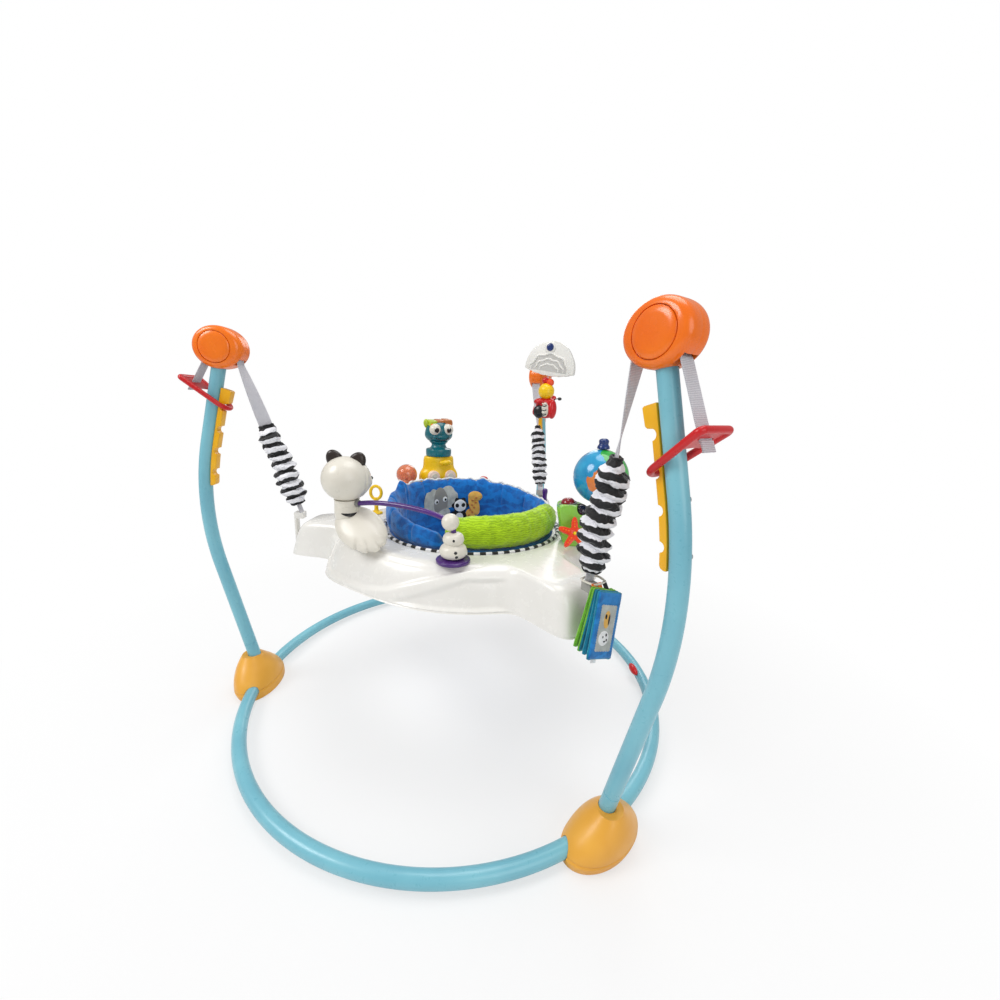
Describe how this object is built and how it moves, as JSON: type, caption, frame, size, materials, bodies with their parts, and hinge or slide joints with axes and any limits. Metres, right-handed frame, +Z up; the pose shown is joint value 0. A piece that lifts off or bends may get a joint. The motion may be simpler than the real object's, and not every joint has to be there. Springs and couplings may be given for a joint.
{
  "type": "baby activity jumper",
  "caption": "Free-standing baby jumper: round tube base, three bowed posts, spring-hung play tray with turning cloth seat and toys.",
  "frame": {"origin": "middle of the footprint on the floor, under the base ring", "axes": "+Z up, +Y towards the rear post, +X towards the right-hand side seen from the open front"},
  "size_m": [0.9784, 1.0228, 0.8482],
  "materials": {
    "moulded_orange": "gloss",
    "moulded_white": "gloss",
    "moulded_purple": "gloss",
    "moulded_yellow": "satin",
    "moulded_teal": "satin",
    "moulded_amber": "satin",
    "moulded_blue": "gloss",
    "moulded_navy": "gloss",
    "moulded_red": "gloss",
    "powder_coat_blue": "semi-gloss",
    "blue_cloth": "soft",
    "green_cloth": "soft",
    "striped_cloth": "woven",
    "plated_steel": "polished",
    "moulded_green": "satin",
    "white_webbing": "woven",
    "moulded_grey": "satin"
  },
  "bodies": {
    "frame": {"ring_tube_front": "powder_coat_blue", "ring_tube_right": "powder_coat_blue", "ring_tube_left": "powder_coat_blue", "foot_left": "moulded_amber", "foot_right": "moulded_amber", "foot_rear": "moulded_amber", "post_left": "powder_coat_blue", "post_right": "powder_coat_blue", "post_rear": "powder_coat_blue", "housing_left": "moulded_orange", "housing_right": "moulded_orange", "housing_rear": "moulded_orange", "axle_cap_left": "moulded_orange", "axle_cap_right": "moulded_orange", "axle_cap_rear": "moulded_orange", "height_rack_left": "moulded_yellow", "height_rack_right": "moulded_yellow", "height_rack_rear": "moulded_yellow", "cloud_toy": "moulded_white"},
    "suspension": {"strap_left": "white_webbing", "strap_right": "white_webbing", "strap_rear": "white_webbing", "spring_left": "plated_steel", "spring_right": "plated_steel", "spring_rear": "plated_steel", "spring_cover_left": "striped_cloth", "spring_cover_right": "striped_cloth", "spring_cover_rear": "striped_cloth"},
    "tray": {"tray_top": "moulded_white", "tray_base": "moulded_white", "tray_hanger_left": "moulded_grey", "tray_hanger_right": "moulded_grey", "tray_hanger_rear": "moulded_grey", "panda_body": "moulded_white", "bead_rod": "moulded_purple", "bobble_base": "moulded_yellow", "station": "moulded_green", "globe_pin": "moulded_navy"},
    "seat": {"seat_ring": "moulded_white", "seat_pad": "blue_cloth", "seat_roll": "green_cloth", "seat_sling": "blue_cloth"},
    "roller_left": {"strap_roller_left": "moulded_grey"},
    "hoop_left": {"height_hoop_left": "moulded_red"},
    "roller_right": {"strap_roller_right": "moulded_grey"},
    "hoop_right": {"height_hoop_right": "moulded_red"},
    "roller_rear": {"strap_roller_rear": "moulded_grey"},
    "hoop_rear": {"height_hoop_rear": "moulded_red"},
    "panda": {"panda_head": "moulded_white"},
    "bead": {"bead_figure": "moulded_white"},
    "loop": {"loop_knob": "moulded_yellow"},
    "rattle": {"rattle_ball": "moulded_orange"},
    "figure": {"bobble_figure": "moulded_teal"},
    "peg": {"peg": "moulded_purple"},
    "red_button": {"red_button": "moulded_red"},
    "purple_button": {"purple_button": "moulded_purple"},
    "star": {"star": "moulded_orange"},
    "globe": {"globe": "moulded_blue"},
    "book": {"soft_book": "moulded_blue"},
    "string": {"toy_string": "moulded_red"}
  },
  "joints": [
    {"name": "seat_height", "type": "slide", "parent": "frame", "child": "suspension", "axis": [0, 0, 1], "range_m": [0, 0.093], "deforming": ["strap_left", "strap_right", "strap_rear"]},
    {"name": "hoop_slide_left", "type": "slide", "parent": "frame", "child": "hoop_left", "axis": [-0.2077, -0.1199, -0.9708], "range_m": [0, 0.09229]},
    {"name": "roller_turn_left", "type": "hinge", "parent": "frame", "child": "roller_left", "pos_m": [-0.40022, -0.26693, 0.764], "axis": [0.5, -0.866, 0], "range_deg": [0, 351.56]},
    {"name": "hoop_slide_right", "type": "slide", "parent": "frame", "child": "hoop_right", "axis": [0.1791, -0.1034, -0.9784], "range_m": [0, 0.0899]},
    {"name": "roller_turn_right", "type": "hinge", "parent": "frame", "child": "roller_right", "pos_m": [0.39046, -0.26693, 0.764], "axis": [0.5, 0.866, 0], "range_deg": [0, 351.56]},
    {"name": "hoop_slide_rear", "type": "slide", "parent": "frame", "child": "hoop_rear", "axis": [0, 0.2398, -0.9708], "range_m": [0, 0.09229]},
    {"name": "roller_turn_rear", "type": "hinge", "parent": "frame", "child": "roller_rear", "pos_m": [-0.00488, 0.41782, 0.764], "axis": [-1, 0, 0], "range_deg": [0, 351.56]},
    {"name": "bounce", "type": "slide", "parent": "suspension", "child": "tray", "axis": [0, 0, 1], "range_m": [-0.1, 0.02], "stiffness_N_per_m": 1200, "springref_m": 0.01259, "deforming": ["spring_left", "spring_right", "spring_rear", "spring_cover_left", "spring_cover_right", "spring_cover_rear"]},
    {"name": "seat_spin", "type": "hinge", "parent": "tray", "child": "seat", "pos_m": [0.02512, -0.03468, 0.02], "axis": [0, 0, 1], "continuous": true},
    {"name": "panda_head_turn", "type": "hinge", "parent": "tray", "child": "panda", "pos_m": [-0.10602, -0.27183, 0.4603], "axis": [0, 0, 1], "range_deg": [-30, 30]},
    {"name": "bead_spin", "type": "hinge", "parent": "tray", "child": "bead", "pos_m": [0.11012, -0.2527, 0.4083], "axis": [0, 0, 1], "continuous": true},
    {"name": "loop_spin", "type": "hinge", "parent": "tray", "child": "loop", "pos_m": [-0.20547, -0.08496, 0.4083], "axis": [0, 0, 1], "continuous": true},
    {"name": "rattle_spin", "type": "hinge", "parent": "tray", "child": "rattle", "pos_m": [-0.20263, 0.02719, 0.4083], "axis": [0, 0, 1], "continuous": true},
    {"name": "figure_turn", "type": "hinge", "parent": "tray", "child": "figure", "pos_m": [-0.16003, 0.10841, 0.5243], "axis": [0, 0, 1], "continuous": true},
    {"name": "peg_spin", "type": "hinge", "parent": "tray", "child": "peg", "pos_m": [0.11773, 0.18673, 0.4083], "axis": [0, 0, 1], "continuous": true},
    {"name": "star_spin", "type": "hinge", "parent": "tray", "child": "star", "pos_m": [0.27368, -0.08835, 0.4413], "axis": [0.3701, -0.783, 0.5], "continuous": true},
    {"name": "globe_spin", "type": "hinge", "parent": "tray", "child": "globe", "pos_m": [0.30019, -0.02978, 0.5543], "axis": [0, 0, 1], "continuous": true},
    {"name": "red_button_press", "type": "slide", "parent": "tray", "child": "red_button", "axis": [-0.1258, -0.0595, 0.9903], "range_m": [-0.004, 0], "stiffness_N_per_m": 400, "springref_m": 0.0006},
    {"name": "purple_button_press", "type": "slide", "parent": "tray", "child": "purple_button", "axis": [0.4083, -0.6543, 0.6365], "range_m": [-0.004, 0], "stiffness_N_per_m": 400, "springref_m": 0.0006},
    {"name": "book_swing", "type": "hinge", "parent": "tray", "child": "book", "pos_m": [0.33818, -0.24347, 0.4275], "axis": [-0.5548, -0.832, 0], "range_deg": [0, 22]},
    {"name": "string_swing", "type": "hinge", "parent": "frame", "child": "string", "pos_m": [0.05512, 0.33332, 0.7555], "axis": [-1, 0, 0], "range_deg": [-8, 30]}
  ],
  "couplings": [
    {"joint": "hoop_slide_left", "follows": "seat_height", "ratio": 0.99024},
    {"joint": "roller_turn_left", "follows": "seat_height", "rad_per_m": 65.789},
    {"joint": "hoop_slide_right", "follows": "seat_height", "ratio": 0.96448},
    {"joint": "roller_turn_right", "follows": "seat_height", "rad_per_m": 65.789},
    {"joint": "hoop_slide_rear", "follows": "seat_height", "ratio": 0.99024},
    {"joint": "roller_turn_rear", "follows": "seat_height", "rad_per_m": 65.789}
  ]
}
